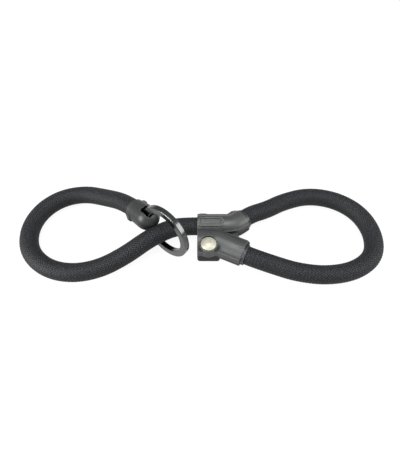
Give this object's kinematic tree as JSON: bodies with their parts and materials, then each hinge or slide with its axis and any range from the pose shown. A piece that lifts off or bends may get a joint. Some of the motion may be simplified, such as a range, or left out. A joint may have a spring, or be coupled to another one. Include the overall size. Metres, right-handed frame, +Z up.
{
  "type": "braided rope slip loop",
  "caption": "Short slip loop of thick black braided rope: a sliding noose with an end cap and flat ring, a moulded Y fitting with a clamp screw, and a fixed handle loop.",
  "frame": {"origin": "on the Y fitting's flat underside, midway between its two rope channels at their bends", "axes": "+X from the noose towards the handle loop, +Y from the clamped tail's side to the through rope's side, +Z up from the surface the loop lies on"},
  "size_m": [0.2415, 0.0763, 0.0382],
  "materials": {
    "rope_sheath": "braided, slightly shiny",
    "rope_core": "laid fibre, hidden",
    "moulding": "satin, soft sheen",
    "screw": "pale, brushed",
    "steel": "plain, hidden",
    "ring": "polished dark nickel plating",
    "end_stop": "matt, hidden"
  },
  "bodies": {
    "rope_and_fitting": {"fitting_top_shell": "moulding", "fitting_bottom_shell": "moulding", "clamp_screw": "screw", "clamp_nut": "steel", "locating_pins": "steel", "through_rope_sheath": "rope_sheath", "through_rope_core": "rope_core", "tail_rope_sheath": "rope_sheath", "tail_rope_core": "rope_core", "tail_end_stop": "end_stop", "handle_rope_sheath": "rope_sheath", "handle_rope_core": "rope_core", "noose_rope_sheath": "rope_sheath", "noose_rope_core": "rope_core"},
    "slip_cap": {"cap_upper_shell": "moulding", "cap_lower_shell": "moulding", "cap_rivets": "steel", "cap_cross_pin": "steel", "rope_end_sheath": "rope_sheath", "rope_end_core": "rope_core"},
    "slip_ring": {"slip_ring": "ring"}
  },
  "joints": [
    {"name": "noose_slide", "type": "slide", "parent": "rope_and_fitting", "child": "slip_cap", "axis": [-0.848, -0.53, 0], "range_m": [-0.003, 0.008], "deforming": ["noose_rope_sheath", "noose_rope_core"]},
    {"name": "ring_swing", "type": "hinge", "parent": "slip_cap", "child": "slip_ring", "pos_m": [-0.05052, 0.00738, 0.0192], "axis": [0.0528, 0.0602, 0.9968], "range_deg": [-15, 6]}
  ]
}
